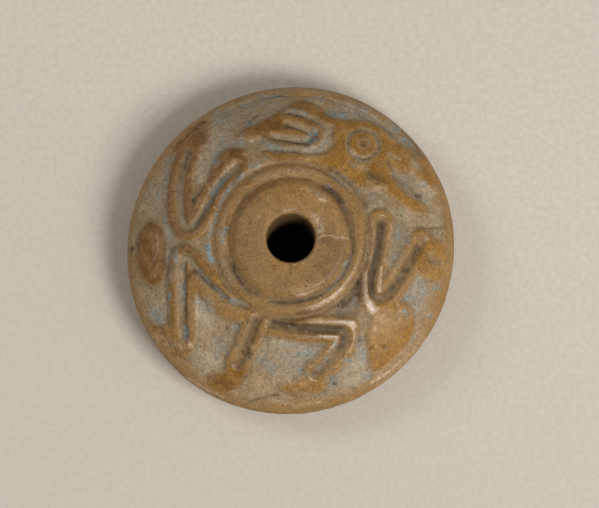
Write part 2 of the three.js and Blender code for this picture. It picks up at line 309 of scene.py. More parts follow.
# %% Cut lines
EYE = np.array([0.436, 0.607])
EYE_RADIUS = 0.094
CUTS = [
    (18, 80, 630, 430, 680, 380, 730, 340, 765, 320), (13, 60, 590, 510, 610, 465, 650, 445, 710, 455),
    (12, 40, 590, 555, 640, 535, 680, 535), (12, 50, 470, 430, 475, 390, 520, 360),
    (11, 35, -850, 70, -825, 0, -830, -90, -860, -140),
    (12, 35, -810, 80, -785, 0, -790, -120, -830, -190), (9, 50, 645, -375, 660, -410, 640, -460),
    (45, 50, 160, -455, 280, -420, 390, -360, 440, -240), (13, 55, -20, 810, 30, 790, 100, 775, 155, 745),
    (10, 75, -20, 735, 30, 710, 90, 682), (9, 100, -100, 637, -30, 620, 40, 605, 110, 597),
    (8, 50, -250, 765, -220, 800, -205, 815), (10, 50, 800, 115, 870, 120, 950, 135),
    (8, 90, -250, -950, -200, -930, -140, -925, -80, -915), (9, 50, -630, -190, -635, -300, -630, -450),
    (12, 35, -140, -600, -155, -680, -200, -760, -280, -810), (12, 40, 850, -90, 890, -95, 930, -85),
    (8, 40, -950, 270, -965, 200, -970, 120), (8, 60, 0, -455, 60, -460, 120, -455),
]


def strokes(rows, steps):
    for half, strength, *places in rows:
        yield smooth_line(places, steps), half / 1000, strength / 100


print(len(CUTS), "cut lines and the eye")

# %% [markdown]
# Distances do the carving. For every vertex the distance to a limb's line, or to a mass's edge, is put
# through a soft step, which gives a rounded ridge, a channel or a plateau. The work is done for all
# vertices at once with arrays, because a loop over a hundred thousand of them would be slow.

# %% Distances and soft steps
FAR = 9.0
REACH = 0.15


def soft_step(start, end, value):
    share = np.clip((value - start) / (end - start), 0, 1)
    return share * share * (3 - 2 * share)


def near_line(places, line, margin=REACH):
    inside = (places > line.min(axis=0) - margin) & (places < line.max(axis=0) + margin)
    return np.nonzero(inside.all(axis=1))[0]


def line_distance(places, line):
    near = near_line(places, line)
    spots = places[near]
    closest = np.full(len(spots), FAR)
    for first, second in zip(line, line[1:]):
        side = second - first
        length = side @ side
        if length > 0:
            share = np.clip((spots - first) @ side / length, 0, 1)
            gap = spots - first - share[:, None] * side
            closest = np.minimum(closest, np.hypot(gap[:, 0], gap[:, 1]))
    nearest = np.full(len(places), FAR)
    nearest[near] = closest
    return nearest


def inside_distance(places, loop):
    crossings = np.zeros(len(places), dtype=int)
    near = near_line(places, loop)
    spots = places[near]
    for first, second in zip(loop, loop[1:]):
        spans = (first[1] > spots[:, 1]) != (second[1] > spots[:, 1])
        rise = second[1] - first[1]
        if rise != 0:
            at = first[0] + (spots[:, 1] - first[1]) * (second[0] - first[0]) / rise
            crossings[near] += spans & (spots[:, 0] < at)
    return np.where(crossings % 2 == 1, 1, -1) * line_distance(places, loop)


def cloud(places, patch, seed, layers=3):
    total = np.zeros(len(places))
    for layer in range(layers):
        grid = np.random.default_rng(seed + layer).uniform(-1, 1, (64, 64))
        spot = (places + 2) * 2**layer / patch
        cell = np.floor(spot).astype(int)
        share = spot - cell
        share = share * share * (3 - 2 * share)
        near = grid[cell[:, 0] % 64, cell[:, 1] % 64] * (1 - share[:, 0])
        near += grid[(cell[:, 0] + 1) % 64, cell[:, 1] % 64] * share[:, 0]
        far = grid[cell[:, 0] % 64, (cell[:, 1] + 1) % 64] * (1 - share[:, 0])
        far += grid[(cell[:, 0] + 1) % 64, (cell[:, 1] + 1) % 64] * share[:, 0]
        total += (near * (1 - share[:, 1]) + far * share[:, 1]) / 2**layer
    return total


print("soft step halfway:", float(soft_step(0, 2, np.array([1.0]))[0]))

# %% [markdown]
# A limb's two ridges stand where the distance to its line is about a twentieth of the radius, with the
# channel between them. Where two limbs meet, the newer channel cuts the older ridge.

# %% Ridges and channels of the limbs
RIDGE_AT = 0.05
RIDGE_HALF = 0.0275
CHANNEL_FLOOR = 0.008
CHANNEL_EDGE = 0.034
LIMB_WIDTHS = {"left leg": 1.08, "top arm": 0.85}


def limb_forms(places):
    ridges = np.zeros(len(places))
    channel = np.zeros(len(places))
    for name, line in limb_lines.items():
        gap = line_distance(places, line) / LIMB_WIDTHS.get(name, 1)
        ridge = np.exp(-(np.abs((gap - RIDGE_AT) / RIDGE_HALF) ** 3.2))
        own_channel = 1 - soft_step(CHANNEL_FLOOR, CHANNEL_EDGE, gap)
        ridges = np.maximum(ridges * (1 - own_channel), ridge)
        channel = np.maximum(channel * (1 - soft_step(0.3, 1, ridge)), own_channel)
    return ridges, channel


print("ridge to ridge", round(2 * RIDGE_AT * WHORL_RADIUS / MM, 1), "mm")

# %% [markdown]
# A few ridge tops are rubbed into small flats that catch the light. Each has two ends, a half width, a lean
# in degrees and the direction that it leans to.

# %% Rubbed flats
RELIEF = 0.4 * MM
LAYOUT_RADIUS = 0.99 * WHORL_RADIUS
FLATS = [
    ((0.03, -0.496), (0.385, -0.506), 0.029, 4, 0),
    ((0.385, -0.506), (0.395, -0.53), 0.028, 0, 0),
    ((0.462, -0.15), (0.467, -0.36), 0.024, 9, -100),
    ((0.48, -0.385), (0.505, -0.43), 0.042, 4, -160),
    ((0.557, -0.16), (0.549, -0.31), 0.019, 11, -128),
    ((0.17, -0.59), (0.29, -0.59), 0.022, 2, 0),
    ((-0.59, -0.2), (-0.585, -0.5), 0.026, 0, 0),
    ((-0.46, -0.4), (-0.3, -0.46), 0.045, 0, 0),
]


def direction(degrees):
    return np.array([math.cos(math.radians(degrees)), math.sin(math.radians(degrees))])


def flat_forms(places):
    raised = np.zeros(len(places))
    for start, end, half, lean, toward in FLATS:
        side = np.subtract(end, start)
        share = np.clip((places - start) @ side / (side @ side), 0, 1)
        gap = places - start - share[:, None] * side
        fall = math.tan(math.radians(lean)) * LAYOUT_RADIUS / RELIEF * (gap @ direction(toward))
        raised = np.maximum(raised, np.exp(-((np.hypot(*gap.T) / half) ** 4)) * (1 - fall))
    return raised


print(len(FLATS), "rubbed flats")

# %% [markdown]
# A mass is a plateau with a rounded edge that still rises a little towards its middle, and a cut line is a
# narrow trough. Both fade out towards the ring and the rim, where the maker left the clay alone.

# %% Masses, cuts and the carved field


def mass_forms(places):
    raised = np.zeros(len(places))
    for loop in mass_loops:
        depth = inside_distance(places, loop)
        raised = np.maximum(raised, 0.8 * soft_step(-0.02, 0.016, depth) + 0.2 * soft_step(0.0, 0.07, depth))
    return raised


def bell(gap, half, power=2):
    return np.exp(-((gap / half) ** power))


def cut_forms(places):
    from_eye = np.hypot(*(places - EYE).T)
    cut = np.maximum(0.85 * bell(from_eye - EYE_RADIUS, 0.014), 0.8 * bell(from_eye, 0.016))
    for line, half, depth in strokes(CUTS, steps=3):
        cut = np.maximum(cut, depth * bell(line_distance(places, line), half))
    return cut


def field_share(places):
    radius = np.hypot(*places.T) * LAYOUT_RADIUS
    inner = soft_step(FIELD_RADIUS - 0.6 * MM, FIELD_RADIUS - 0.05 * MM, radius)
    return inner * (1 - soft_step(RIM_LINE_RADIUS - 1.1 * MM, RIM_LINE_RADIUS - 0.3 * MM, radius))


print("field from", round(FIELD_RADIUS / MM, 1), "to", round(RIM_LINE_RADIUS / MM, 1), "mm")

# %% [markdown]
# Now the forms are put together. The carver's hand wandered a little, so the places are first shifted by
# a small, seeded cloud. The result is one height for each vertex of the carved field.

# %% Carve the field
CHANNEL_SINK = 0.1 * MM
CUT_DEPTH = 0.3 * MM
WOBBLE = 0.003

plan = points[:, :2] / LAYOUT_RADIUS
radii = np.hypot(points[:, 0], points[:, 1])
is_top = (points[:, 2] > RIM_HEIGHT + 0.3 * MM) & (radii > BORE_RADIUS + 0.5 * MOUTH_WEAR)
in_field = is_top & (radii > FIELD_RADIUS - 0.8 * MM)
field_plan = plan[in_field]
wobbled = field_plan + WOBBLE * np.stack([cloud(field_plan, 0.1, 3), cloud(field_plan, 0.1, 11)], axis=1)
ridges, channel = limb_forms(wobbled)
flats = flat_forms(wobbled)
ridges = np.maximum(ridges, flats)
channel *= 1 - soft_step(0.2, 0.8, flats)
masses = mass_forms(wobbled) * (1 - channel) * (1 - 0.8 * soft_step(0.05, 0.4, channel))
cuts = cut_forms(wobbled)
raised = np.maximum(ridges, masses)
height = RELIEF * raised * (1 - 0.6 * channel) - CHANNEL_SINK * channel - CUT_DEPTH * cuts
relief = np.zeros(len(points))
relief[in_field] = height * field_share(field_plan)
print("carving from", round(relief.min() / MM, 2), "to", round(relief.max() / MM, 2), "mm")

# %% [markdown]
# Fired clay is never quite smooth. Small pits are left where grit or straw fell out, and the whole surface
# swells and sinks a little under the hand. The pits are seeded, so the whorl is the same every time, and
# the larger ones are listed, each by its place and half width in thousandths of the radius.

# %% Pits
PIT_COUNT = 110
NAMED_PITS = [
    (575, -632, 13), (785, 312, 16), (-605, 265, 14), (-985, 0, 14), (430, -610, 11), (320, -605, 18),
    (720, -165, 14), (700, -220, 10), (490, -650, 10), (-350, -728, 14), (-660, -30, 10), (-360, 553, 9),
    (-620, -210, 12), (-590, -190, 9), (-250, -685, 16), (-390, -530, 12), (270, -860, 14),
    (385, -880, 12), (-580, 750, 12), (260, 910, 10), (600, 700, 10), (300, -410, 10), (-260, -500, 12),
    (-330, -620, 9),
]


def pit_depths(places):
    generator = np.random.default_rng(21)
    around = generator.uniform(0, math.tau, PIT_COUNT)
    out = np.sqrt(generator.uniform(0.2, 0.95, PIT_COUNT))
    widths = generator.uniform(0.004, 0.009, PIT_COUNT)
    small = list(zip(out * np.cos(around), out * np.sin(around), widths))
    depth = np.zeros(len(places))
    for x, y, width in small + [np.array(pit) / 1000 for pit in NAMED_PITS]:
        near = near_line(places, np.array([[x, y]]))
        gap = np.hypot(places[near, 0] - x, places[near, 1] - y)
        depth[near] = np.maximum(depth[near], np.clip(width / 0.012, 0.3, 1.2) * bell(gap, width))
    return depth


pits = np.where(is_top, pit_depths(plan), 0)
print(len(NAMED_PITS) + PIT_COUNT, "pits")

# %% [markdown]
# Turning on a wheel or by hand leaves shallow marks that follow the rim. Each has a radius and a half width
# in millimetres, a middle and a spread in degrees, and a sink in millimetres, which is below zero for a
# swelling. All of it is added up as one lift, along the dome's own normal.

# %% Turning marks, swellings and one scratch
RING_LINES = [
    (19.6, 0.16, 62, 20, 0.1), (19.6, 0.16, 100, 18, 0.09), (19.6, 0.16, -55, 16, 0.1),
    (19.5, 0.14, -118, 14, 0.07), (19.3, 0.14, -100, 8, 0.06), (19.7, 0.14, 150, 12, 0.04),
    (7.85, 0.45, 15, 35, 0.16), (7.9, 0.42, -75, 30, 0.15), (8.0, 0.3, -150, 18, 0.1),
    (5.75, 0.2, 172, 32, 0.03), (3.75, 0.35, 34, 20, 0.12), (10.0, 0.4, 140, 42, -0.12),
    (9.85, 0.35, -45, 28, 0.1), (10.5, 0.6, -50, 26, 0.14),
]
SCRATCH = [(6, 80, 170, 0, 210, 18, 260, 14, 290, 3, 320, 6, 355, 2)]
SCRATCH_RISE = 0.05 * MM
PIT_DEPTH = 0.14 * MM
SWELL = 0.045 * MM

lift = SWELL * cloud(plan, 0.22, 31) + 0.3 * SWELL * cloud(plan, 0.045, 41)
for line, half, strength in strokes(SCRATCH, steps=4):
    lift += SCRATCH_RISE * bell(line_distance(plan, line), half)
turn = np.arctan2(points[:, 1], points[:, 0])
for radius, half, middle, spread, sink in RING_LINES:
    apart = (turn - math.radians(middle) + math.pi) % math.tau - math.pi
    lift -= sink * MM * bell(apart, math.radians(spread)) * bell(radii / MM - radius, half)
lift = relief + is_top * lift - PIT_DEPTH * pits
slope = dome_slope(np.clip(radii, MM, None))
normals = np.stack([-slope * points[:, 0], -slope * points[:, 1], radii], axis=1)
normals /= np.linalg.norm(normals, axis=1)[:, None]
moved = points + lift[:, None] * normals
print("surface moves by", round(lift.min() / MM, 2), "to", round(lift.max() / MM, 2), "mm")

# %% [markdown]
# The outline was shaped by hand, so it is a hair longer one way than the other. The sides and the base,
# which the photograph hides, are plain, and only swell a little. Nothing goes below the base, so that the
# whorl still lies flat.

# %% Out of round, and the worn mouth
OUT_OF_ROUND = 0.29 * MM
OUT_OF_ROUND_TURN = math.radians(60)
RIM_GROWTH = 0.12 * MM
RIM_SHIFT = 0.08 * MM
SIDE_SWELL = 0.035 * MM
MOUTH_CHIP = 0.22 * MM
MOUTH_CHIP_TURN = math.radians(80)

share = np.clip((radii - BORE_RADIUS) / (WHORL_RADIUS - BORE_RADIUS), 0, 1)
push = OUT_OF_ROUND * share * np.cos(2 * (turn - OUT_OF_ROUND_TURN))
push += share**4 * (RIM_GROWTH + RIM_SHIFT * np.sin(turn))
edge_share = share**4 * np.clip(points[:, 2] / MM, 0, 1)
push += SIDE_SWELL * edge_share * (cloud(plan, 0.3, 51) + 0.5 * cloud(plan, 0.09, 61))
mouth = bell(radii - BORE_RADIUS, 0.4 * MM) * soft_step(WHORL_HEIGHT - 1.2 * MM, WHORL_HEIGHT, points[:, 2])
chipped = np.clip(np.cos(turn - MOUTH_CHIP_TURN), 0, 1) * (1 + 0.4 * cloud(plan, 0.03, 65))
push += MOUTH_CHIP * mouth * chipped
moved[:, 0] += push * np.cos(turn)
moved[:, 1] += push * np.sin(turn)
moved[:, 2] = np.clip(moved[:, 2], 0, WHORL_HEIGHT + 0.1 * MM)
whorl_mesh.vertices.foreach_set("co", moved.astype(np.float32).ravel())
whorl_mesh.update()
whorl_mesh.shade_smooth()
print("out of round by", round(2 * OUT_OF_ROUND / MM, 2), "mm across")

# %% [markdown]
# Paint, dirt and wear lie in marks all over the face, and so do painted shade and painted highlights. An
# image could carry them, but it would have to be unwrapped and shipped along. Here every mark is a brush
# stroke: a row of whole numbers like a cut line's, with a half width, a strength and places. A vertex takes
# the strongest stroke that reaches it.

# %% A brush


def brushed(rows):
    total = np.zeros(len(plan))
    for line, half, strength in strokes(rows, steps=2):
        total = np.maximum(total, strength * bell(line_distance(plan, line), half))
    return total


print("a stroke reaches", int((brushed(SCRATCH) > 0.1).sum()), "vertices along the scratch")

# %% [markdown]
# The blue-grey pigment is left where it was sheltered: in thick flecks in the channels and against the
# limbs, and as a thin, greenish wash over parts of the lowered ground.

# %% Blue flecks
BLUE = [
    (9, 50, -290, 410, -370, 335, -425, 250), (14, 60, -400, 70, -425, 20),
    (30, 50, -440, 800, -400, 830), (20, 55, -450, 620, -430, 570), (20, 55, -330, 620, -300, 630),
    (16, 60, -820, 350, -830, 290), (20, 50, -500, -360, -470, -420), (22, 50, -400, -620, -390, -660),
    (14, 50, 130, 925, 200, 915), (20, 45, 40, -770, 100, -800), (14, 40, -50, -630, 20, -640),
    (16, 65, -400, 410, -445, 355), (22, 100, -455, 335, -475, 295), (12, 40, -490, 260, -540, 170),
    (12, 35, -585, 110, -600, 90), (7, 30, -360, 360, -420, 270, -450, 180),
    (10, 50, -455, 170, -480, 80, -500, 20), (18, 95, -510, -30, -500, -90, -480, -130),
    (13, 60, -440, 50, -410, -20), (28, 80, 135, 670, 130, 620), (16, 40, 50, 630, 110, 630),
    (17, 90, -665, -265, -652, -315), (12, 60, -660, -360, -655, -380), (18, 90, -640, -515, -630, -560),
    (10, 50, -560, -190, -500, -250), (10, 60, -460, -290, -400, -350), (18, 75, -360, -370, -280, -400),
    (24, 95, -840, -385, -830, -430, -790, -445), (12, 80, -735, -310, -735, -340),
    (13, 70, -705, -40, -700, -110), (16, 60, -760, 460, -770, 420), (14, 70, -860, 400, -860, 360),
    (11, 70, -780, 220, -775, 150, -760, 90), (11, 50, -750, 50, -710, 10),
    (18, 50, -560, 500, -530, 470), (18, 50, -460, 560, -470, 500), (30, 45, -440, 600, -400, 660),
    (16, 70, -270, 760, -240, 755), (22, 60, -280, 880, -240, 870), (12, 50, -200, 940, -30, 940),
    (20, 50, -130, 590, -80, 580), (16, 60, -250, 470, -200, 465), (24, 75, 250, 810, 310, 805),
    (18, 45, 320, 790, 450, 810), (20, 35, 400, 870, 450, 830), (22, 70, 630, 740, 660, 730),
    (18, 75, 690, 680, 720, 650), (14, 80, 800, 380, 820, 380), (12, 50, 225, 335, 240, 320),
    (10, 30, 320, 210, 340, 170), (13, 24, 370, -110, 350, -180, 330, -230),
    (14, 45, 400, -370, 390, -410), (20, 60, 420, -600, 430, -660, 450, -720),
    (15, 80, 460, -800, 490, -800), (20, 55, 270, -830, 250, -860), (30, 45, 80, -700, 120, -680),
    (14, 50, 330, -720, 380, -730), (18, 70, 720, -430, 700, -420), (18, 55, 720, -340, 770, -330),
    (24, 35, 790, -220, 830, -280, 800, -330), (14, 70, 860, -420, 870, -430),
    (14, 50, 890, -260, 920, -250), (15, 50, 780, -550, 760, -570), (20, 40, 650, 80, 670, 20),
    (18, 40, 660, -80, 640, -140), (16, 35, 720, 50, 720, 0), (14, 50, -340, -520, -320, -530),
    (30, 35, -170, -720, -100, -780), (24, 35, -440, -680, -430, -600), (26, 40, -560, -360, -500, -420),
]
print(len(BLUE), "blue flecks")

# %% Greenish wash
WASH = [
    (50, 30, -460, 860, -360, 840), (40, 22, -500, 620, -420, 700), (40, 20, 0, -780, 100, -820),
    (35, 45, -460, 840, -430, 780), (60, 20, -500, 700, -360, 800), (45, 30, -300, 860, -100, 930),
    (35, 36, 250, 820, 450, 820), (40, 30, 500, 800, 620, 740), (30, 25, 700, 680, 780, 580),
    (30, 30, -780, 480, -790, 300), (25, 30, -740, 560, -780, 530), (30, 40, -470, 600, -460, 500),
    (40, 30, -540, -400, -520, -500), (30, 30, -440, -600, -440, -700), (70, 22, -100, -720, 100, -700),
    (30, 12, 660, 80, 640, -120), (60, 28, 800, -250, 780, -380), (35, 30, 430, -640, 460, -800),
    (40, 35, -780, -380, -800, -440), (15, 35, -740, -300, -745, -400),
    (30, 32, -180, 620, -100, 580, 150, 560, 200, 660), (16, 35, -20, 830, 100, 800),
    (30, 30, -750, 50, -730, -200), (40, 20, 380, -820, 280, -860), (30, 35, 220, -830, 260, -860),
    (25, 25, 610, 450, 680, 420, 720, 380), (40, 40, 320, 870, 460, 840), (30, 20, 120, 310, 200, 260),
    (14, 30, 340, -140, 300, -260, 220, -330), (25, 20, 380, 460, 420, 500),
    (35, 25, -300, 660, -400, 600), (20, 20, 0, -900, 200, -920), (30, 20, -340, -620, -320, -520),
    (20, 25, -420, -140, -360, -300), (30, 30, 620, 680, 700, 640),
    (14, 45, 280, -620, 230, -700, 170, -770), (25, 20, 740, 500, 760, 490), (20, 30, 830, 290, 850, 270),
    (12, 45, 250, 400, 300, 360, 360, 320), (20, 15, 520, 300, 490, 270),
]
print(len(WASH), "strokes of wash")

# %% [markdown]
# A brown layer lies in grooves and channels, partly dirt and partly painted shade along the grooves and
# channels that fall into shadow, and dark soil packs into the deepest lines and pinholes. The ring round the
# eye is a string of such dots, each with its angle and its distance.

# %% Dirt and painted shade
GRIME_AND_SHADE_STROKES = [
    (28, 130, -100, -510, 80, -543, 200, -550, 310, -550), (24, 90, 330, -565, 330, -620, 300, -660),
    (22, 60, 300, -660, 220, -745, 150, -800),
    (28, 120, 555, 100, 550, 0, 535, -100, 510, -200, 494, -280, 510, -340),
    (24, 85, 510, -345, 550, -360, 610, -320, 665, -240, 730, -130, 790, -20),
    (30, 75, -205, -500, -240, -580, -280, -670), (18, 35, -300, -710, -330, -780),
    (30, 45, 60, -460, 220, -430, 320, -400), (40, 95, 330, -400, 410, -360, 430, -270),
    (35, 65, 300, -465, 400, -450, 430, -380), (14, 60, 430, -200, 455, -100, 465, 0),
    (20, 90, 200, 325, 290, 255, 340, 160), (22, 80, 340, 160, 375, 60, 385, -80),
    (20, 70, 375, -100, 320, -230, 200, -330, 60, -385, -80, -390),
    (26, 70, -380, -120, -340, -200, -280, -290, -200, -340), (10, 50, -400, 20, -385, 140),
    (18, 75, 190, -345, 80, -378, -120, -388), (10, 50, -250, 130, -255, 50),
    (18, 60, 240, 435, 340, 370, 430, 280, 470, 200), (8, 60, -60, 400, 120, 370),
    (8, 70, -300, 260, -220, 335, -100, 385), (10, 50, -380, 60, -360, 140, -300, 250),
    (14, 45, -640, 560, -665, 470, -675, 380), (16, 75, -480, 270, -520, 210, -580, 110),
    (12, 50, -400, 420, -450, 340), (16, 80, -570, -190, -480, -280, -380, -360),
    (10, 60, -643, -140, -642, -300, -640, -500), (14, 40, -250, -760, -300, -840),
    (26, 80, 470, 405, 500, 400, 560, 375), (12, 50, 670, 410, 750, 340, 800, 300),
    (10, 60, 780, 105, 870, 110, 950, 130), (20, 50, 430, 270, 480, 240), (30, 60, 540, 100, 550, 50),
    (30, 40, -40, -500, 60, -500), (10, 40, 650, 100, 610, 0, 580, -140, 560, -260),
    (10, 30, 160, -610, 280, -615), (60, 42, 200, -20, 300, -60, 300, -160, 220, -240),
    (8, 60, 0, -160, 0, -220), (8, 45, -240, 120, -270, 60, -270, -50),
    (90, 20, -250, 160, -280, 0, -240, -160), (30, 40, 370, 150, 385, 0, 370, -120),
    (20, 35, -140, 210, -200, 240), (50, 30, 140, -240, 200, -200, 250, -120),
    (50, 15, -100, -200, -60, -300), (20, 60, 520, -360, 560, -340), (30, 30, 440, -450, 460, -500),
    (12, 60, 730, 670, 810, 560), (14, 50, -570, 190, -600, 140), (12, 50, -120, 600, -20, 588, 100, 577),
    (12, 50, 420, 800, 530, 755), (20, 45, 850, -90, 900, -100), (10, 40, 0, 600, 60, 590),
    (50, 36, 690, 90, 660, -100), (9, 60, -300, 425, -385, 320, -445, 200), (60, 15, 0, -720, 160, -700),
    (20, 40, 100, -640, 200, -650), (50, 28, 470, 300, 530, 260), (50, 16, -200, 880, 0, 900),
    (20, 30, 340, -420, 260, -440),
]
print(len(GRIME_AND_SHADE_STROKES), "strokes of dirt")

# %% Soil in the deepest lines
SOIL_LINES = [
    (8, 50, -320, 385, -360, 345), (6, 45, -285, 345, -220, 400), (6, 40, 120, 600, 200, 580),
    (6, 50, 180, 420, 260, 380, 310, 340), (18, 60, 325, -575, 325, -610),
    (17, 115, 235, 315, 280, 275, 310, 235), (17, 95, -352, -165, -342, -200),
    (14, 90, -322, -235, -300, -270), (10, 50, 50, -385, 150, -365), (9, 65, -310, 405, -345, 360),
    (8, 90, -70, 630.5, 20, 611, 100, 598), (9, 50, -570, -200, -450, -315),
    (8, 80, -20, 735, 30, 710, 90, 682), (9, 60, 30, -460, 100, -455),
    (8, 50, -120, -500, -20, -520, 80, -525), (18, 70, -240, -675, -250, -690),
    (7, 80, -250, -945, -200, -930, -80, -915), (8, 100, -985, 10, -985, -20),
    (7, 60, -250, 770, -205, 815), (8, 60, 700, 650, 780, 580), (6, 60, -200, 930, -50, 945),
    (8, 50, 560, 740, 620, 700), (10, 50, 545, 30, 535, -60, 520, -140), (9, 50, -650, 520, -665, 470),
    (10, 60, 490, 390, 530, 375), (10, 80, 775, 315, 790, 305), (6, 50, 400, 290, 450, 210),
    (10, 40, -270, -460, -240, -500),
]
EYE_DOTS = [
    (20, 0.9), (48, 1.05), (75, 0.95), (98, 1.08), (127, 1.0), (150, 1.06), (176, 0.93), (205, 1.02),
    (236, 0.95), (262, 1.1), (290, 1.0), (318, 0.92), (344, 1.08),
]


def eye_dot(at, out):
    first, last = (1000 * (EYE + EYE_RADIUS * out * direction(degrees)) for degrees in (at, at + 6))
    return (6, 75, *first, *last)


SOIL_LINES += [eye_dot(at, out) for at, out in EYE_DOTS]
print(len(SOIL_LINES), "lines and dots of soil")

# %% [markdown]
# Hands and cloth rub the crests pale, and the mouth of the hole is worn pale. Along the ridges, the ring and
# the boss's edge on the lower right, and along the lower right rim, the pale strokes are painted highlights
# where the key softbox shines back. In places the lowered ground is lighter too, where its grey has thinned.

# %% Worn crests, painted highlights and thin ground
RUBBED_AND_HIGHLIGHT_STROKES = [
    *SCRATCH,
    (10, 60, 130, -430, 200, -405, 270, -360, 325, -310), (7, 85, 557, -170, 554, -240, 549, -310),
    (7, 60, 180, -586, 280, -592), (60, 14, -820, 250, -800, 420),
    (6, 100, 35, -351, 90, -345, 135, -326, 165, -312), (14, 100, -612, -600, -605, -610),
    (7, 80, -40, 170, 20, 175), (22, 85, 145, 130, 180, 90, 185, 50),
    (16, 40, 120, -500, 300, -505, 390, -510), (11, 60, 458, -190, 460, -280, 467, -360),
    (27, 85, 480, -385, 503, -428), (8, 60, 500, 335, 540, 330, 580, 327), (30, 50, 810, 370, 860, 335),
    (10, 100, 548, 246, 553, 246), (10, 80, 270, 905, 285, 900), (10, 60, 590, 548, 660, 528),
    (13, 30, -665, 470, -675, 300, -670, 200), (10, 80, -240, -635, -225, -640),
    (6, 60, -620, -790, -500, -865, -400, -910), (6, 90, 500, -845, 600, -782, 710, -684),
    (12, 90, -245, 635, -235, 640), (12, 40, 360, 560, 385, 535), (14, 20, 450, 445, 410, 450),
    (10, 35, -100, 660, 0, 645, 80, 630), (10, 30, -20, 800, 40, 785), (14, 70, 0, -840, 10, -845),
    (14, 30, -660, -150, -670, -250, -665, -400), (12, 60, 510, -530, 520, -535),
    (6, 50, -820, 50, -810, -30, -830, -100), (20, 22, 610, 100, 605, -20, 590, -140),
    (20, 28, 505, 100, 500, 0, 480, -120), (16, 20, 720, -30, 660, -140, 620, -220),
    (22, 18, -220, 385, 0, 435, 160, 410), (40, 38, -800, -550, -720, -590, -640, -620),
    (35, 10, 20, -870, 180, -850), (35, 28, 550, -820, 700, -700, 820, -550),
    (20, 12, -280, 940, 0, 985, 200, 965), (12, 25, 200, -410, 300, -340),
    (75, 36, -530, -420, -510, -550, -500, -720), (40, 15, 800, 200, 900, 250),
    (50, 34, -560, 400, -520, 550, -450, 680), (50, 15, -800, -280, -800, -400),
    (30, 15, 300, 870, 480, 830), (50, 20, -200, -840, -50, -860), (50, 15, 360, -780, 400, -840),
    (20, 20, 200, 520, 100, 500), (50, 22, 560, -480, 660, -460), (20, 15, -200, 380, 50, 430, 200, 390),
    (14, 50, 180, 245, 210, 235), (16, 25, -400, 450, -340, 500),
    (10, 25, -140, -930, 50, -970, 200, -950), (12, 40, -900, 300, -930, 250),
]
THIN_GROUND = [
    (80, 90, -520, -480, -500, -700), (90, 90, 380, -820, 420, -750), (70, 60, -50, -680, 100, -720),
    (60, 70, 840, -320, 800, -250), (50, 50, -800, -280, -790, -420), (45, 50, -500, 600, -560, 400),
    (60, 50, 700, 200, 850, 250), (40, 30, -820, 300, -820, 450), (50, 50, -250, -850, -100, -860),
    (22, 70, -120, 565, 100, 555, 200, 570, 210, 680),
]
print(len(RUBBED_AND_HIGHLIGHT_STROKES), "worn places,", len(THIN_GROUND), "patches of thin ground")

# %% [markdown]
# The slip doesn't follow the carving everywhere. Some raised places have lost it down to the grey ground,
# some plain clay has caught it, and parts of it have fired or aged to a darker brown.

# %% Grey, ochre and brown away from the carving
GREY = [
    (22, 60, 200, -350, 60, -385, -120, -388), (24, 60, -370, -130, -320, -250, -220, -335),
    (12, 40, 330, 170, 370, 60), (20, 35, -420, 0, -400, -120), (16, 80, 375, 530, 410, 500, 470, 487),
    (14, 45, 350, 480, 400, 450, 450, 440), (30, 80, 610, 440, 660, 410, 720, 370),
    (26, 85, 735, 520, 765, 490), (13, 80, 585, 548, 660, 527), (28, 55, 600, 680, 700, 640),
    (14, 70, 470, 350, 520, 335, 580, 327), (30, 50, 400, 320, 460, 310),
    (25, 60, 740, 420, 780, 400, 840, 360), (28, 62, 860, -60, 880, -100, 930, -100),
    (30, 32, -250, 955, 0, 990, 250, 950), (12, 20, -220, 720, -180, 760),
    (12, 50, 600, 560, 580, 500, 600, 470), (25, 70, -250, -700, -230, -680),
    (35, 40, -350, -550, -330, -650),
]
OCHRE = [
    (80, 55, -220, 270, 0, 310, 200, 270), (30, 50, -100, -170, 60, -200),
    (14, 70, -400, 30, -385, 130, -340, 220), (12, 80, -385, -10, -380, -20),
    (20, 50, 440, 280, 460, 240), (25, 40, -410, -200, -340, -330),
    (14, 90, -175, -620, -185, -680, -205, -735, -250, -780), (50, 85, 280, 480, 310, 550, 290, 660),
    (18, 70, -200, 530, -50, 535), (30, 70, -20, 860, 60, 870), (16, 80, -50, 700, 30, 685, 80, 665),
    (20, 75, 50, -615, 160, -620, 260, -615), (30, 60, 800, 500, 860, 450),
    (14, 50, -870, -300, -880, -360, -850, -440), (35, 50, 550, -400, 660, -400),
    (16, 60, -745, -40, -735, -30), (35, 100, -270, 690, -160, 720, -80, 770),
    (20, 90, 420, 660, 460, 665), (15, 90, 430, 555, 480, 560), (30, 90, 300, 760, 450, 765),
    (18, 95, -735, 140, -745, 300, -730, 500, -690, 600), (18, 95, -620, 300, -615, 450, -580, 580),
    (14, 90, -710, -200, -713, -350, -710, -520), (25, 90, -440, 540, -360, 550, -300, 560),
    (25, 80, 610, 500, 650, 490), (25, 60, 100, 800, 200, 775), (30, 90, 30, -870, 200, -860),
    (40, 50, -480, -820, -420, -840), (25, 50, 630, 360, 700, 280, 800, 220),
]
BROWN = [
    (70, 75, -500, -790, -370, -850), (80, 60, -800, -540, -650, -620), (30, 60, -710, -200, -700, -500),
    (50, 40, -450, -360, -360, -420), (60, 90, -50, 830, 100, 870, 250, 780),
    (50, 60, 436, 655, 450, 560), (50, 35, 280, 740, 500, 720), (50, 40, 500, 440, 540, 500),
    (50, 40, -200, 700, -100, 750), (40, 30, 660, 620, 820, 500),
]
print(len(GREY + OCHRE + BROWN), "strokes of ground and slip")

# %% [markdown]
# Hollows are found by letting every height flow a little towards its neighbours: a place that rises by it
# lies in a hollow, and one that sinks is a crest, which wears. The hollows are painted darker further on,
# a painted shade for the soft shadow that lies in them. This works on any mesh and needs no picture of the
# hollows.

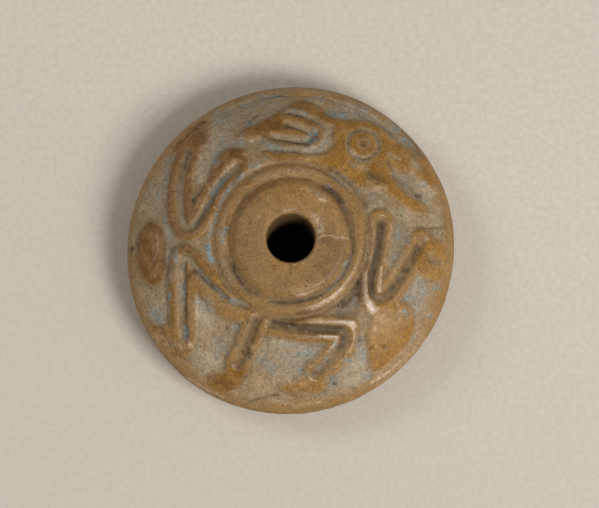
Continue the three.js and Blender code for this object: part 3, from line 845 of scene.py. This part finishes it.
# %% Hollows
edge_ends = np.empty(len(whorl_mesh.edges) * 2, dtype=np.int32)
whorl_mesh.edges.foreach_get("vertices", edge_ends)
edge_ends = edge_ends.reshape(-1, 2)
neighbours = np.bincount(edge_ends.ravel(), minlength=len(points))


def flowed(values, rounds):
    for _ in range(rounds):
        total = np.bincount(edge_ends[:, 0], values[edge_ends[:, 1]], len(points))
        total += np.bincount(edge_ends[:, 1], values[edge_ends[:, 0]], len(points))
        values = 0.5 * values + 0.5 * total / neighbours
    return values


plain_dome = np.interp(fine_radii, rough[:, 0], dome_height(rough[:, 0]))
standing = relief + is_top * np.interp(radii, fine_radii, fine_heights - plain_dome)
hollow = (flowed(standing, 14) - standing) / RELIEF
print("deepest hollow", round(float(hollow.max()), 2), "of the relief")

# %% [markdown]
# The material can't ask the carving where it is, so each colour's share is worked out here, one number for
# each vertex, and stored on the mesh. First come the bands that follow the turned outline, and the upper
# left side of the face, away from the key softbox, which is painted a darker brown as painted shade.

# %% Bands of the outline


def whole(values):
    spread = np.zeros(len(points))
    spread[in_field] = values
    return spread


def circle(radius, half, power=2):
    return is_top * bell(radii - radius, half, power)


out = np.hypot(*plan.T)
# Painted shade: the upper left side, away from the key softbox, gets the darker umber brown.
shaded_side = soft_step(-0.1, -0.75, plan[:, 0] - 0.7 * plan[:, 1])
rim_wander = 0.02 * cloud(plan, 0.12, 71) - 0.035 * np.clip(-np.cos(turn), 0, 1)
field_start = is_top * soft_step(FIELD_RADIUS - 0.4 * MM, FIELD_RADIUS - 0.05 * MM, radii)
band = field_start * (1 - soft_step(0.9, 0.985, out + rim_wander))
ochre_band = field_start * (1 - soft_step(0.96, 1.0, out))
ring_band = circle(RING_RADIUS, 0.6 * MM, power=4)
boss_band = is_top * (radii < BOSS_RADIUS)
boss_edge = circle(BOSS_FOOT, 0.35 * MM)
groove_one = circle(7.98 * MM, 0.14 * MM)
groove_two = circle(OUTER_GROOVE, 0.2 * MM)
from_eye = np.hypot(*(plan - EYE).T)
eye_ring = bell(from_eye - EYE_RADIUS, 0.018)
eye_halo = bell(from_eye - 0.032, 0.011)
print("ring covers", round(100 * float((ring_band > 0.5).mean())), "% of the vertices")

# %% [markdown]
# Slip was wiped over the raised forms, and the ground between them kept the grey. Towards the lower edge of
# the face the slip has gone from the ridges.

# %% Shares of slip and ground
ridge_ochre = 0.25 + 0.6 * soft_step(0.2, -0.35, field_plan[:, 0] - 0.7 * field_plan[:, 1])
ridge_ochre *= 1 - 0.6 * soft_step(-0.1, -0.5, field_plan[:, 1])
on_forms = whole(np.maximum(soft_step(0.1, 0.65, masses), ridges * ridge_ochre)) * ochre_band
bare_ground = band * whole(np.clip(1 - 1.25 * raised, 0, 1))
bare_ground *= 1 - 0.55 * whole(channel) * (1 - shaded_side)

shares = {
    "ochre": np.maximum(on_forms, brushed(OCHRE)),
    "umber_and_side_shade": np.maximum(shaded_side, brushed(BROWN)),
    "ground": np.maximum.reduce([
        bare_ground, whole(0.6 * cuts), brushed(GREY), 0.9 * eye_ring, 0.55 * eye_halo, 0.4 * groove_two]),
    "light": np.maximum(brushed(THIN_GROUND), 0.5 * eye_ring),
    "blue": brushed(BLUE),
    "wash": brushed(WASH),
}
print({name: round(float(values.mean()), 3) for name, values in shares.items()})

# %% [markdown]
# The hollows, the foot of the forms and the grooves are painted darker, a painted shade where soft shadow
# lies, together with the dirt. Gloss is highest on the polished crests of the upper right, and low under
# dirt and painted shade. The wall of the hole is painted darker with depth, a painted shade.

# %% Shares of dirt and painted shade, wear and gloss
foot = bell(raised - 0.2, 0.16) * (1 - channel) * np.clip(0.4 + 0.8 * cloud(field_plan, 0.07, 81), 0, 1)
# Painted shade: the hollows, both grooves and the foot of the forms are darkened where soft shadow lies.
painted_shade_film = 0.5 * soft_step(0.05, 0.45, hollow) + 0.55 * groove_one + 0.3 * groove_two + 0.55 * whole(foot) * band
polish = 0.5 + 0.5 * soft_step(-0.3, 0.35, plan[:, 0] - 0.7 * plan[:, 1])
crests = whole(np.maximum(ridges, 0.35 * masses)) * band + ring_band + 0.25 * boss_band + 0.6 * boss_edge
depth = WHORL_HEIGHT - points[:, 2]
on_wall = (radii < BORE_RADIUS + 0.8 * MM) & (depth > 0.25 * MM) & (points[:, 2] > 0.15 * MM)
deeper = (0.62 + 0.38 * soft_step(6.5 * MM, 8.5 * MM, depth)) * soft_step(0.25 * MM, 0.7 * MM, depth)
lower_right = np.clip(np.cos(turn - math.radians(-45)), 0, 1)

# This share is dirt and also the painted shade of hollows, grooves and the foot of the forms.
shares["grime_and_shade"] = np.maximum(brushed(GRIME_AND_SHADE_STROKES), np.clip(painted_shade_film, 0, 1))
shares["dark"] = np.maximum(brushed(SOIL_LINES), np.clip(whole(0.2 * cuts) + 0.9 * pits, 0, 1))
# Pale is wear, and painted highlight on the crests that face the key softbox.
shares["pale"] = brushed(RUBBED_AND_HIGHLIGHT_STROKES)
top_only = [name for name in shares if name != "umber_and_side_shade"]
speckled_places = np.maximum.reduce([boss_band * (0.3 + 0.7 * lower_right), shares["grime_and_shade"], eye_ring])
shares["specks"] = 0.5 + 0.5 * speckled_places
shares["gloss"] = np.clip(crests, 0, 1) * polish * (1 - 0.7 * np.clip(shares["grime_and_shade"], 0, 1))
# Painted shade: the wall of the hole is darkened more the deeper it goes.
shares["bore_shade"] = on_wall * deeper
for name in top_only:
    shares[name] = shares[name] * is_top

for name, values in shares.items():
    attribute = whorl_mesh.attributes.new(name, "FLOAT", "POINT")
    attribute.data.foreach_set("value", values.astype(np.float32))
print(len(shares), "shares stored on", len(points), "vertices")

# %% [markdown]
# The mesh becomes an object at the origin, with its place in its vertices, like every piece of the frame.
# It rides on the one body and stands for the imported solid.

# %% The piece itself
whorl = bpy.data.objects.new("whorl_body", whorl_mesh)
bpy.context.scene.collection.objects.link(whorl)
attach(whorl, "root")
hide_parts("whorl")
print("visual whorl", [round(value / MM, 2) for value in whorl.dimensions])

# %% [markdown]
# Clay and paper both have a fine, uneven speckle, so the speckle is a node group, built once. It takes a
# place and a grain size and gives a share between 0 and 1. Shaders stay in the materials.

# %% Speckle group


def add_node(tree, kind, **settings):
    node = tree.nodes.new(kind)
    for name, value in settings.items():
        setattr(node, name, value)
    return node


def join(tree, output, target):
    tree.links.new(output, target)


def speckle_group():
    tree = bpy.data.node_groups.new("speckle", "ShaderNodeTree")
    tree.interface.new_socket("Place", in_out="INPUT", socket_type="NodeSocketVector")
    for name in ("Grains per metre", "Low", "High"):
        tree.interface.new_socket(name, in_out="INPUT", socket_type="NodeSocketFloat")
    tree.interface.new_socket("Share", in_out="OUTPUT", socket_type="NodeSocketFloat")
    start = add_node(tree, "NodeGroupInput")
    end = add_node(tree, "NodeGroupOutput")
    noise = add_node(tree, "ShaderNodeTexNoise")
    noise.inputs["Detail"].default_value = 5
    noise.inputs["Roughness"].default_value = 0.6
    spread = add_node(tree, "ShaderNodeMapRange", interpolation_type="SMOOTHSTEP")
    join(tree, start.outputs["Place"], noise.inputs["Vector"])
    join(tree, start.outputs["Grains per metre"], noise.inputs["Scale"])
    join(tree, noise.outputs["Fac"], spread.inputs["Value"])
    join(tree, start.outputs["Low"], spread.inputs["From Min"])
    join(tree, start.outputs["High"], spread.inputs["From Max"])
    join(tree, spread.outputs["Result"], end.inputs["Share"])
    return tree


speckle = speckle_group()
print("group", speckle.name, "with", len(speckle.nodes), "nodes")

# %% [markdown]
# The clay's material lays one colour over another, as the maker and the ages did: bare buff clay, ochre
# slip on the raised forms, grey in the sunk ground, then blue, dirt and wear. The dirt layer also carries
# painted shade, and the pale layer also carries painted highlights. A layer's stored share is multiplied by
# speckle, so that its edge frays as old paint does and doesn't end in a clean line.

# %% Fired clay colours
BUFF_CLAY = (0.385, 0.22, 0.08)
BUFF_DARK = (0.225, 0.118, 0.034)
OCHRE_SLIP = (0.362, 0.18, 0.027)
OCHRE_DARK = (0.275, 0.124, 0.015)
# The umber browns also paint shade on the upper left side.
UMBER_SLIP_AND_SHADE = (0.226, 0.102, 0.015)
UMBER_DARK_AND_SHADE = (0.16, 0.066, 0.006)
GREY_GROUND = (0.365, 0.275, 0.158)
LIGHT_GROUND = (0.47, 0.37, 0.24)
BLUE_PIGMENT = (0.2, 0.275, 0.28)
GREEN_WASH = (0.29, 0.29, 0.235)
# Brown for dirt and for painted shade.
GRIME_AND_SHADE_BROWN = (0.088, 0.053, 0.018)
SPECK_BROWN = (0.085, 0.045, 0.016)
SOIL = (0.05, 0.029, 0.014)
# Pale for wear and for painted highlights.
PALE_WEAR_AND_HIGHLIGHT = (0.58, 0.43, 0.28)
# Black for painted shade down the hole and on the sheet under it.
HOLE_SHADE_BLACK = (0.002, 0.002, 0.002)


def darker(colour, share):
    return tuple(share * value for value in colour)


print("fifteen colours of clay, paint and dirt")

# %% Short names for the nodes


def linked(tree, source, socket):
    if isinstance(source, bpy.types.NodeSocket):
        join(tree, source, socket)
    else:
        socket.default_value = (*source, 1) if isinstance(source, tuple) else source


def ranged(tree, value, spans, **settings):
    node = add_node(tree, "ShaderNodeMapRange", **settings)
    for name, number in spans.items():
        node.inputs[name].default_value = number
    join(tree, value, node.inputs["Value"])
    return node.outputs["Result"]


def mixed(tree, share, first, second):
    node = add_node(tree, "ShaderNodeMix", data_type="RGBA")
    for source, socket in ((share, 0), (first, 6), (second, 7)):
        linked(tree, source, node.inputs[socket])
    return node.outputs[2]


def maths(tree, operation, first, second):
    node = add_node(tree, "ShaderNodeMath", operation=operation, use_clamp=True)
    linked(tree, first, node.inputs[0])
    linked(tree, second, node.inputs[1])
    return node.outputs["Value"]


def stored(tree, name):
    node = add_node(tree, "ShaderNodeAttribute", attribute_name=name, attribute_type="GEOMETRY")
    return node.outputs["Fac"]


print("a layer is a share, a speckle and a colour")

# %% Speckles, dots and frayed layers


def speckled(tree, place, grains, low=0.32, high=0.68):
    node = add_node(tree, "ShaderNodeGroup", node_tree=speckle)
    join(tree, place, node.inputs["Place"])
    for name, number in (("Grains per metre", grains), ("Low", low), ("High", high)):
        node.inputs[name].default_value = number
    return node.outputs["Share"]


def dotted(tree, place, cells, inner, outer):
    cell = add_node(tree, "ShaderNodeTexVoronoi")
    cell.inputs["Scale"].default_value = cells
    join(tree, place, cell.inputs["Vector"])
    spans = {"From Min": outer, "From Max": inner}
    return ranged(tree, cell.outputs["Distance"], spans, interpolation_type="SMOOTHSTEP")


def frayed(tree, name, noise, least, most):
    breaks = ranged(tree, noise, {"To Min": least, "To Max": most}, clamp=False)
    return maths(tree, "MULTIPLY", stored(tree, name), breaks)


def toned(tree, colour, noise, depth):
    scaled = add_node(tree, "ShaderNodeVectorMath", operation="SCALE")
    join(tree, colour, scaled.inputs[0])
    shade = ranged(tree, noise, {"To Min": 1 - depth, "To Max": 1 + depth}, clamp=False)
    join(tree, shade, scaled.inputs["Scale"])
    return scaled.outputs["Vector"]


print("speckle, dots, frayed edges and tones")

# %% Clay, slip and ground


def bare_colour(tree, place):
    middle = speckled(tree, place, 520)
    small = speckled(tree, place, 1300)
    buff = mixed(tree, maths(tree, "MULTIPLY", speckled(tree, place, 130), 0.35), BUFF_CLAY, BUFF_DARK)
    buff = mixed(tree, maths(tree, "MULTIPLY", small, 0.4), buff, BUFF_DARK)
    ochre = mixed(tree, maths(tree, "MULTIPLY", middle, 0.8), OCHRE_SLIP, OCHRE_DARK)
    umber_and_side_shade = mixed(tree, middle, UMBER_SLIP_AND_SHADE, UMBER_DARK_AND_SHADE)
    slip = mixed(tree, stored(tree, "umber_and_side_shade"), ochre, umber_and_side_shade)
    grey = mixed(tree, stored(tree, "light"), GREY_GROUND, LIGHT_GROUND)
    grey = mixed(tree, maths(tree, "MULTIPLY", small, 0.22), grey, darker(GREY_GROUND, 0.7))
    colour = mixed(tree, frayed(tree, "ochre", middle, 0.6, 1.15), buff, slip)
    return mixed(tree, frayed(tree, "ground", speckled(tree, place, 330), 0.4, 1.15), colour, grey)


print("two clays, two slips and two grounds")

# %% [markdown]
# Over these lie the layers that came later, each a row with the name of its share, the size of its speckle
# and where that starts and ends, the least and the most that the speckle makes of the share, and a colour.
# The dirt layer also paints shade, and the pale layer also paints highlights.

# %% Dirt and painted shade, paint, wear and painted highlights, and specks
LAYERS = [
    # Dirt and painted shade.
    ("grime_and_shade", 1300, 0.32, 0.68, 0.5, 1.3, GRIME_AND_SHADE_BROWN),
    ("wash", 1000, 0.4, 0.62, 0.5, 1.9, GREEN_WASH),
    ("blue", 1500, 0.36, 0.66, 0.25, 1.5, BLUE_PIGMENT),
    ("dark", 2600, 0.34, 0.66, 0.3, 1.2, SOIL),
    # Wear and painted highlights.
    ("pale", 1300, 0.32, 0.68, 0.5, 1.2, PALE_WEAR_AND_HIGHLIGHT),
    ("specks", 620, 0.42, 0.68, 0.0, 0.3, SPECK_BROWN),
]


def clay_colour(tree, place):
    colour = bare_colour(tree, place)
    for name, grains, low, high, least, most, paint in LAYERS:
        share = frayed(tree, name, speckled(tree, place, grains, low, high), least, most)
        colour = mixed(tree, share, colour, paint)
    patches = speckled(tree, place, 900, 0.42, 0.56)
    dots = maths(tree, "MULTIPLY", dotted(tree, place, 1500, 0.1, 0.26), patches)
    specks = maths(tree, "MULTIPLY", frayed(tree, "specks", dots, 0.0, 1.3), 0.85)
    colour = mixed(tree, specks, colour, SPECK_BROWN)
    glints = maths(tree, "MULTIPLY", dotted(tree, place, 1250, 0.06, 0.16), 0.5)
    colour = mixed(tree, glints, colour, PALE_WEAR_AND_HIGHLIGHT)
    colour = toned(tree, colour, speckled(tree, place, 1300), 0.07)
    colour = toned(tree, colour, speckled(tree, place, 2600, 0.34, 0.66), 0.16)
    colour = toned(tree, colour, speckled(tree, place, 4300, 0.34, 0.66), 0.14)
    # Painted shade down the hole.
    return mixed(tree, stored(tree, "bore_shade"), colour, HOLE_SHADE_BLACK)


print(len(LAYERS), "layers over the clay")

# %% [markdown]
# Burnished clay shines softly on its crests and is dull in its hollows, so the stored gloss lowers the
# roughness. A bump adds only the finest grain, which is too small for the mesh.

# %% Grain, roughness and the finished material


def clay_bump(tree, place):
    height = add_node(tree, "ShaderNodeMath", operation="MULTIPLY_ADD")
    join(tree, speckled(tree, place, 700, 0.25, 0.75), height.inputs[0])
    height.inputs[1].default_value = 1.2
    join(tree, speckled(tree, place, 3000, 0.3, 0.7), height.inputs[2])
    bump = add_node(tree, "ShaderNodeBump")
    bump.inputs["Strength"].default_value = 0.5
    bump.inputs["Distance"].default_value = 0.022 * MM
    join(tree, height.outputs["Value"], bump.inputs["Height"])
    return bump.outputs["Normal"]


def clay_roughness(tree, place):
    dull = maths(tree, "SUBTRACT", 0.6, maths(tree, "MULTIPLY", stored(tree, "gloss"), 0.38))
    return maths(tree, "ADD", dull, maths(tree, "MULTIPLY", speckled(tree, place, 1100, 0.35, 0.7), 0.12))


def fired_clay():
    material = bpy.data.materials.new("fired_clay")
    material.use_nodes = True
    tree = material.node_tree
    shader = tree.nodes["Principled BSDF"]
    place = add_node(tree, "ShaderNodeTexCoord").outputs["Object"]
    join(tree, clay_colour(tree, place), shader.inputs["Base Color"])
    join(tree, clay_roughness(tree, place), shader.inputs["Roughness"])
    join(tree, clay_bump(tree, place), shader.inputs["Normal"])
    shader.inputs["IOR"].default_value = 1.5
    shader.inputs["Specular IOR Level"].default_value = 0.45
    return material


whorl_mesh.materials.append(fired_clay())
print("clay material with", len(whorl_mesh.materials[0].node_tree.nodes), "nodes")

# %% [markdown]
# The whorl lies on a plain pale sheet, which is only the stage. It darkens a little towards the viewer, as
# a sheet does further from the lamp, and is black under the hole, where no light gets in.

# %% Floor
PAPER = (0.725, 0.67, 0.575)
SHADE_WAY = (-0.35, -0.94, 0)


def paper_colour(tree):
    place = add_node(tree, "ShaderNodeTexCoord").outputs["Object"]
    colour = mixed(tree, speckled(tree, place, 1500, 0.3, 0.7), PAPER, darker(PAPER, 0.89))
    along = add_node(tree, "ShaderNodeVectorMath", operation="DOT_PRODUCT")
    join(tree, place, along.inputs[0])
    along.inputs[1].default_value = SHADE_WAY
    shade = ranged(tree, along.outputs["Value"], {"From Min": -0.02, "From Max": 0.03, "To Max": 0.4})
    colour = mixed(tree, shade, colour, darker(PAPER, 0.8))
    # Painted shade: the sheet is black under the hole.
    out = add_node(tree, "ShaderNodeVectorMath", operation="LENGTH")
    join(tree, place, out.inputs[0])
    spans = {"From Min": 1.4 * BORE_RADIUS, "From Max": 1.6 * BORE_RADIUS}
    return mixed(tree, ranged(tree, out.outputs["Value"], spans), HOLE_SHADE_BLACK, colour)


floor_bm = bmesh.new()
bmesh.ops.create_grid(floor_bm, x_segments=1, y_segments=1, size=1)
floor_mesh = bpy.data.meshes.new("floor")
floor_bm.to_mesh(floor_mesh)
floor_bm.free()
floor = bpy.data.objects.new("floor", floor_mesh)
bpy.context.scene.collection.objects.link(floor)
paper = bpy.data.materials.new("paper")
paper.use_nodes = True
paper_shader = paper.node_tree.nodes["Principled BSDF"]
join(paper.node_tree, paper_colour(paper.node_tree), paper_shader.inputs["Base Color"])
paper_shader.inputs["Roughness"].default_value = 0.9
floor_mesh.materials.append(paper)
print("floor of", len(floor_mesh.polygons), "face")

# %% [markdown]
# One softbox from the lower right throws the soft shadow to the upper left and draws the bright lines along
# the ridges. A low one from the right warms the side of the rim. A third from the left and a pale sky fill
# the shadows.

# %% Lights


def softbox(name, azimuth, elevation, distance, width, power):
    light = bpy.data.lights.new(name, "AREA")
    light.size = width
    light.energy = power
    lamp = bpy.data.objects.new(name, light)
    bpy.context.scene.collection.objects.link(lamp)
    rise = math.radians(elevation)
    lamp.location = distance * Vector((*(math.cos(rise) * direction(azimuth)), math.sin(rise)))
    lamp.rotation_euler = (-lamp.location).to_track_quat("-Z", "Y").to_euler()


softbox("key", azimuth=-42, elevation=47, distance=0.8, width=0.33, power=4.5)
softbox("low side", azimuth=-8, elevation=26, distance=0.8, width=0.45, power=0.45)
softbox("fill", azimuth=155, elevation=42, distance=0.9, width=0.35, power=1.75)
world = bpy.data.worlds.new("pale sky")
world.use_nodes = True
sky = world.node_tree.nodes["Background"]
sky.inputs["Color"].default_value = (1, 0.98, 0.95, 1)
sky.inputs["Strength"].default_value = 0.22
bpy.context.scene.world = world
bpy.context.scene.view_settings.view_transform = "Standard"
print("three softboxes and a pale sky")

# %% [markdown]
# The camera looks down steeply with a long lens, as for a museum record. Its frame is the photograph's,
# where the whorl's widest circle lies a little left of the middle.

# %% Camera
PHOTO_WIDTH = 599
PHOTO_HEIGHT = 508
CIRCLE_MIDDLE = (290.65, 250.85)
CIRCLE_RADIUS = 163.5
CAMERA_ELEVATION = math.radians(80)
CAMERA_DISTANCE = 1.5
SENSOR = 36

pixel = WHORL_RADIUS / CIRCLE_RADIUS
camera_data = bpy.data.cameras.new("camera")
camera_data.sensor_width = SENSOR
camera_data.lens = SENSOR * CAMERA_DISTANCE / (PHOTO_WIDTH * pixel)
camera = bpy.data.objects.new("camera", camera_data)
bpy.context.scene.collection.objects.link(camera)
back = Vector((0, -math.cos(CAMERA_ELEVATION), math.sin(CAMERA_ELEVATION)))
up = Vector((0, math.sin(CAMERA_ELEVATION), math.cos(CAMERA_ELEVATION)))
target = Vector((0, 0, RIM_HEIGHT))
target.x += (PHOTO_WIDTH / 2 - CIRCLE_MIDDLE[0]) * pixel
target += (CIRCLE_MIDDLE[1] - PHOTO_HEIGHT / 2) * pixel * up
camera.location = target + CAMERA_DISTANCE * back
camera.rotation_euler = (math.pi / 2 - CAMERA_ELEVATION, 0, 0)
bpy.context.scene.camera = camera
print("lens", round(camera_data.lens), "mm")
